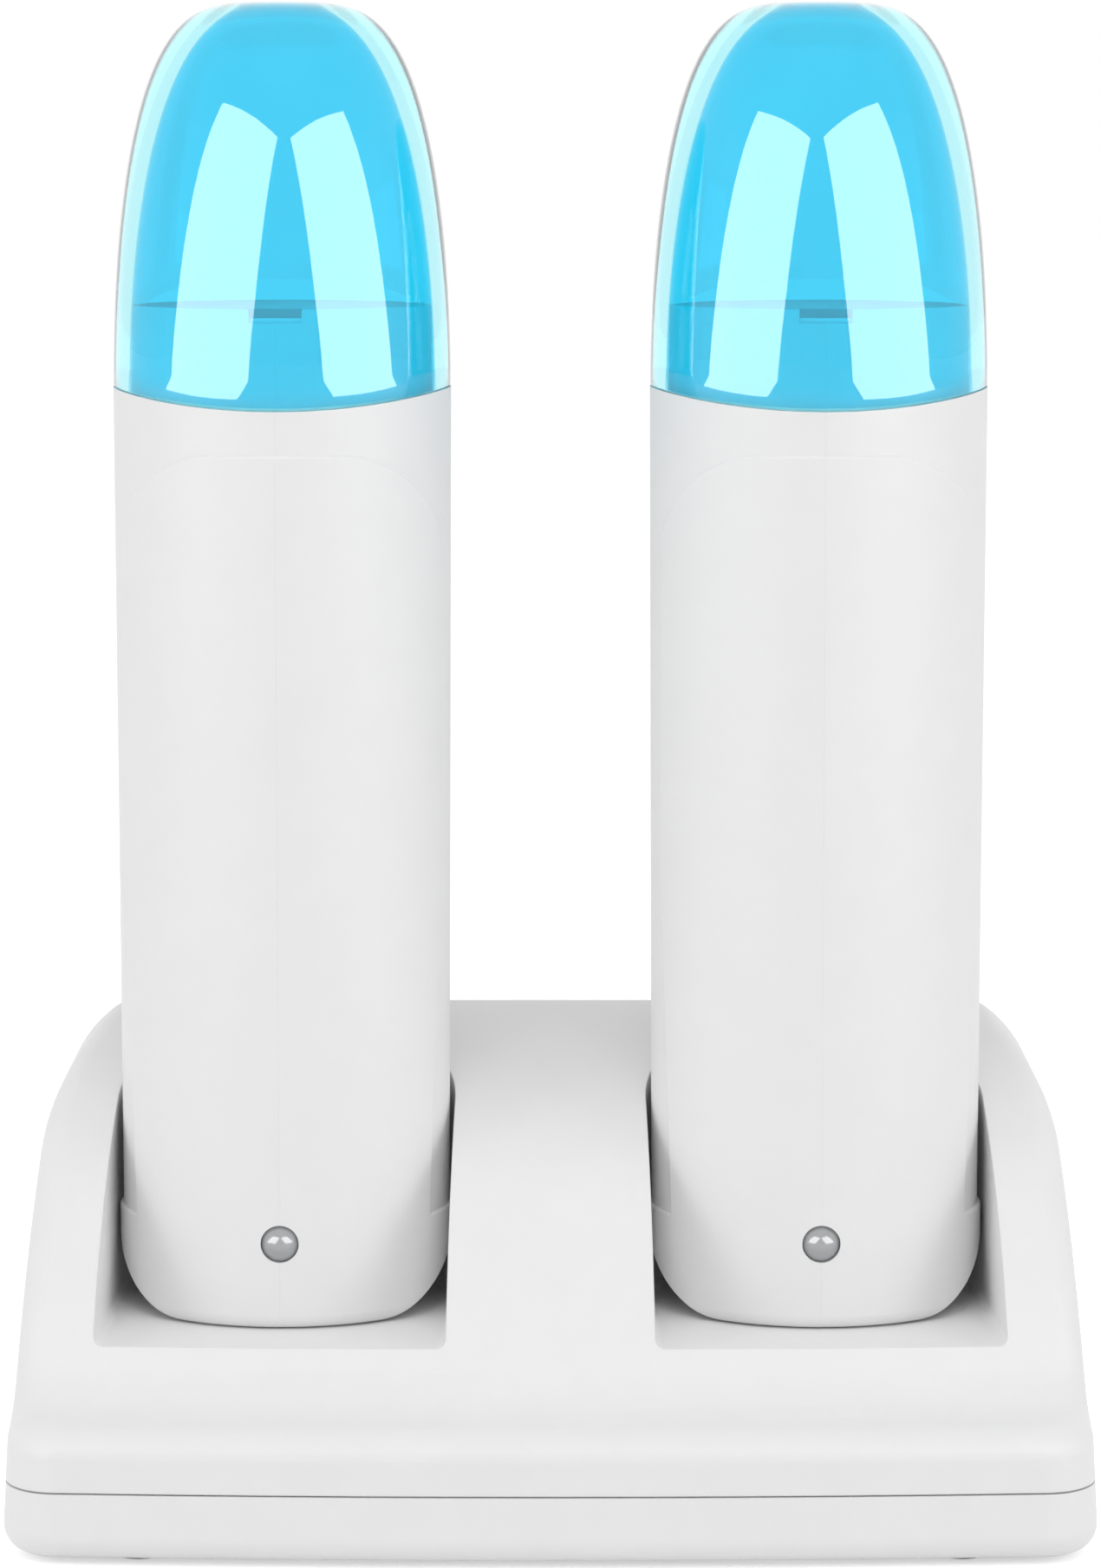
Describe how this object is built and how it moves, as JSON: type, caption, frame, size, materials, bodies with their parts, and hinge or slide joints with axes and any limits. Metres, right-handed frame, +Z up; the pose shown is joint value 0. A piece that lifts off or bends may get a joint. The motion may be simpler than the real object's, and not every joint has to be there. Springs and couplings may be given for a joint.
{
  "type": "double roll-on wax heater",
  "caption": "Twin roll-on depilatory wax heater: oval hand-held heaters with translucent blue caps standing in a shared white docking base.",
  "frame": {"origin": "on the table under the middle of the base", "axes": "+Z up, front faces -Y, +X to the right seen from the front"},
  "size_m": [0.1744, 0.088, 0.2469],
  "materials": {
    "shell_white": "moulded ABS, satin gloss",
    "base_white": "moulded ABS, satin gloss",
    "cap_blue": "clear tinted styrene, polished",
    "cup_aluminium": "drawn, satin",
    "element_ceramic": "element in amber insulating film",
    "spring_steel": "bent strip",
    "fuse_body": "glazed tube",
    "lamp_lens": "diffused grey lens",
    "circuit_board": "solder resist",
    "insulator_black": "moulded nylon",
    "contact_brass": "turned",
    "wire_sleeve": "silicone sleeve",
    "screw_steel": "zinc plated",
    "foot_rubber": "moulded"
  },
  "bodies": {
    "base": {"base_housing": "base_white", "base_plate": "base_white", "base_screws": "screw_steel", "base_wires": "wire_sleeve", "left_dock_connector": "insulator_black", "left_dock_sockets": "contact_brass", "mains_inlet": "insulator_black", "mains_inlet_pins": "contact_brass", "right_dock_connector": "insulator_black", "right_dock_sockets": "contact_brass", "rubber_feet": "foot_rubber"},
    "left_heater": {"left_heater_strap": "spring_steel", "left_heating_cup": "cup_aluminium", "left_indicator_lamp": "lamp_lens", "left_inlet_block": "insulator_black", "left_inlet_pins": "contact_brass", "left_lamp_board": "circuit_board", "left_lead_wires": "wire_sleeve", "left_ptc_heater": "element_ceramic", "left_shell_left": "shell_white", "left_shell_right": "shell_white", "left_shell_screws": "screw_steel", "left_thermal_fuse": "fuse_body"},
    "right_heater": {"right_heater_strap": "spring_steel", "right_heating_cup": "cup_aluminium", "right_indicator_lamp": "lamp_lens", "right_inlet_block": "insulator_black", "right_inlet_pins": "contact_brass", "right_lamp_board": "circuit_board", "right_lead_wires": "wire_sleeve", "right_ptc_heater": "element_ceramic", "right_shell_left": "shell_white", "right_shell_right": "shell_white", "right_shell_screws": "screw_steel", "right_thermal_fuse": "fuse_body"},
    "left_cap": {"left_cap": "cap_blue"},
    "right_cap": {"right_cap": "cap_blue"}
  },
  "joints": [
    {"name": "left_heater_lift", "type": "slide", "parent": "base", "child": "left_heater", "axis": [0, 0, 1], "range_m": [0, 0.06]},
    {"name": "left_cap_lift", "type": "slide", "parent": "left_heater", "child": "left_cap", "axis": [0, 0, 1], "range_m": [0, 0.045]},
    {"name": "right_heater_lift", "type": "slide", "parent": "base", "child": "right_heater", "axis": [0, 0, 1], "range_m": [0, 0.06]},
    {"name": "right_cap_lift", "type": "slide", "parent": "right_heater", "child": "right_cap", "axis": [0, 0, 1], "range_m": [0, 0.045]}
  ]
}
